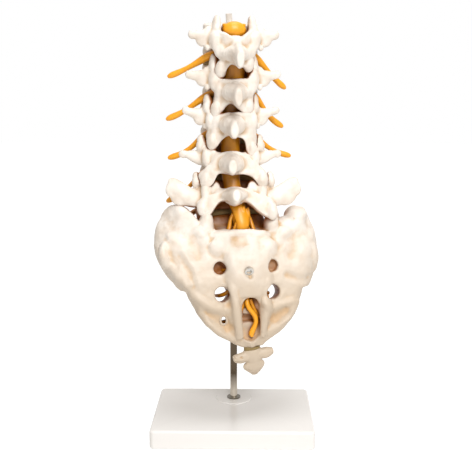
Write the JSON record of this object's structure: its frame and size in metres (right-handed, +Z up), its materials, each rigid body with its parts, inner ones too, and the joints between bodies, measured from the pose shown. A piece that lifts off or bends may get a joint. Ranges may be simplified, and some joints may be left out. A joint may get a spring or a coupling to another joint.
{
  "type": "spine anatomy model",
  "caption": "Lumbar spine teaching model with sacrum, coccyx, discs, dural sac and spinal nerves on a chromed rod in a white base block.",
  "frame": {"origin": "middle of the base block's flat underside", "axes": "+Z up along the spine; the base block is wide along X and deep along Y; the back of the body faces -Y"},
  "size_m": [0.1339, 0.0975, 0.3374],
  "materials": {
    "bone": "cream moulded plastic",
    "disc": "olive grey translucent rubber",
    "nerve": "orange soft plastic",
    "base": "white satin gloss",
    "chrome": "polished chrome",
    "rod_end": "plain grey metal",
    "dark_steel": "plain steel"
  },
  "bodies": {
    "root": {"base_plate": "base", "coccyx": "bone", "core_rod": "rod_end", "disc_l1_l2": "disc", "disc_l2_l3": "disc", "disc_l3_l4": "disc", "disc_l4_l5": "disc", "disc_l5_s1": "disc", "dural_sac": "nerve", "end_cord": "nerve", "nerve_l1_left": "nerve", "nerve_l1_right": "nerve", "nerve_l2_left": "nerve", "nerve_l2_right": "nerve", "nerve_l3_left": "nerve", "nerve_l3_right": "nerve", "nerve_l4_left": "nerve", "nerve_l4_right": "nerve", "nerve_l5_left": "nerve", "nerve_l5_right": "nerve", "nerve_s1_left": "nerve", "nerve_s1_right": "nerve", "nerve_s2_left": "nerve", "nerve_s2_right": "nerve", "nerve_s3_left": "nerve", "nerve_s3_right": "nerve", "nerve_s4_left": "nerve", "nerve_s4_right": "nerve", "rod_collar": "dark_steel", "rod_nut": "dark_steel", "rod_washer": "dark_steel", "sacrococcygeal_disc": "disc", "sacrum": "bone", "sacrum_screw": "chrome", "support_rod": "chrome", "vertebra_l1": "bone", "vertebra_l2": "bone", "vertebra_l3": "bone", "vertebra_l4": "bone", "vertebra_l5": "bone"}
  },
  "joints": []
}
